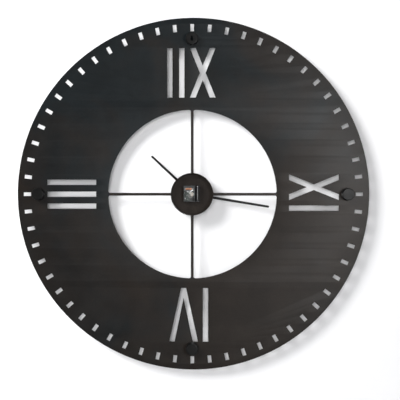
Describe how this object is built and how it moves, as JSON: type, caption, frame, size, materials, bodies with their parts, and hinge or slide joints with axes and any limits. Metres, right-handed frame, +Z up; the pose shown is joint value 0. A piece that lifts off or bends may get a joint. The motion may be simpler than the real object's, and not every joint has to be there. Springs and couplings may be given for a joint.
{
  "type": "wall clock",
  "caption": "Large open-frame steel wall clock: cut-out dial ring on four spokes, hub cup with a quartz movement, standoff cups with a keyhole, two hands.",
  "frame": {"origin": "on the hands' axis, at the middle of the clock's depth", "axes": "+Z up towards the XII, +Y towards the wall, the dial's front faces -Y, +X towards the III"},
  "size_m": [1.2192, 0.0468, 1.2192],
  "materials": {
    "dial_steel": "dark gunmetal, patinated satin",
    "frame_steel": "brownish dark grey raw-looking steel",
    "standoff_black": "satin black",
    "hand_black": "satin black",
    "case_plastic": "black moulded plastic",
    "clear_cover": "clear moulded plastic",
    "gear_plastic": "natural white moulded plastic",
    "brass": "turned brass",
    "steel": "bright steel",
    "magnet_steel": "dark sintered magnet",
    "copper_wire": "enamelled copper winding",
    "board": "green solder mask",
    "chip_resin": "black resin",
    "rubber": "matte black rubber",
    "battery_sleeve": "plain black sleeve"
  },
  "bodies": {
    "clock_frame": {"dial_ring": "dial_steel", "spoke_top": "frame_steel", "spoke_right": "frame_steel", "spoke_bottom": "frame_steel", "spoke_left": "frame_steel", "hub_cup": "frame_steel", "standoff_top": "standoff_black", "standoff_right": "standoff_black", "standoff_bottom": "standoff_black", "standoff_left": "standoff_black", "movement_case": "case_plastic", "gear_cover": "clear_cover", "middle_plate": "case_plastic", "stator": "steel", "coil_core": "steel", "coil_bobbin": "gear_plastic", "coil_winding": "copper_wire", "coil_screw_left": "steel", "coil_screw_right": "steel", "circuit_board": "board", "quartz_crystal": "steel", "chip": "chip_resin", "battery_contact_positive": "steel", "battery_contact_negative": "steel", "threaded_bushing": "brass", "rubber_washer": "rubber", "brass_washer": "brass", "hex_nut": "brass"},
    "minute_hand_set": {"minute_hand": "hand_black", "minute_pipe": "brass", "hand_nut": "brass"},
    "hour_hand_set": {"hour_hand": "hand_black", "hour_wheel": "gear_plastic"},
    "minute_wheel_set": {"minute_wheel": "gear_plastic"},
    "knob_set": {"setting_knob": "case_plastic"},
    "rotor_set": {"rotor": "magnet_steel"},
    "intermediate_set": {"intermediate_wheel": "gear_plastic"},
    "fourth_set": {"fourth_wheel": "gear_plastic"},
    "third_set": {"third_wheel": "gear_plastic"},
    "centre_set": {"centre_wheel": "brass"},
    "battery_cell": {"battery": "battery_sleeve"}
  },
  "joints": [
    {"name": "minute_hand_turn", "type": "hinge", "parent": "clock_frame", "child": "minute_hand_set", "pos_m": [0, 0, 0], "axis": [0, 1, 0], "continuous": true},
    {"name": "hour_hand_turn", "type": "hinge", "parent": "clock_frame", "child": "hour_hand_set", "pos_m": [0, 0, 0], "axis": [0, 1, 0], "continuous": true},
    {"name": "minute_wheel_turn", "type": "hinge", "parent": "clock_frame", "child": "minute_wheel_set", "pos_m": [-0.00092, 0, -0.00901], "axis": [0, 1, 0], "continuous": true},
    {"name": "knob_turn", "type": "hinge", "parent": "clock_frame", "child": "knob_set", "pos_m": [-0.0052, 0, -0.017], "axis": [0, 1, 0], "continuous": true},
    {"name": "rotor_turn", "type": "hinge", "parent": "clock_frame", "child": "rotor_set", "pos_m": [0.01037, 0, 0.00778], "axis": [0, 1, 0], "continuous": true},
    {"name": "intermediate_turn", "type": "hinge", "parent": "clock_frame", "child": "intermediate_set", "pos_m": [0.00605, 0, 0.00454], "axis": [0, 1, 0], "continuous": true},
    {"name": "fourth_turn", "type": "hinge", "parent": "clock_frame", "child": "fourth_set", "pos_m": [0, 0, 0], "axis": [0, 1, 0], "continuous": true},
    {"name": "third_turn", "type": "hinge", "parent": "clock_frame", "child": "third_set", "pos_m": [0.00682, 0, -0.00586], "axis": [0, 1, 0], "continuous": true},
    {"name": "centre_turn", "type": "hinge", "parent": "clock_frame", "child": "centre_set", "pos_m": [0, 0, 0], "axis": [0, 1, 0], "continuous": true},
    {"name": "battery_out", "type": "slide", "parent": "clock_frame", "child": "battery_cell", "axis": [0, 1, 0], "range_m": [0, 0.022]}
  ],
  "couplings": [
    {"joint": "hour_hand_turn", "follows": "minute_hand_turn", "ratio": 0.083333},
    {"joint": "minute_wheel_turn", "follows": "minute_hand_turn", "ratio": -0.33333},
    {"joint": "knob_turn", "follows": "minute_hand_turn", "ratio": 1},
    {"joint": "intermediate_turn", "follows": "rotor_turn", "ratio": -0.2},
    {"joint": "fourth_turn", "follows": "rotor_turn", "ratio": 0.033333},
    {"joint": "third_turn", "follows": "rotor_turn", "ratio": -0.0044444},
    {"joint": "centre_turn", "follows": "rotor_turn", "ratio": 0.00055556}
  ]
}
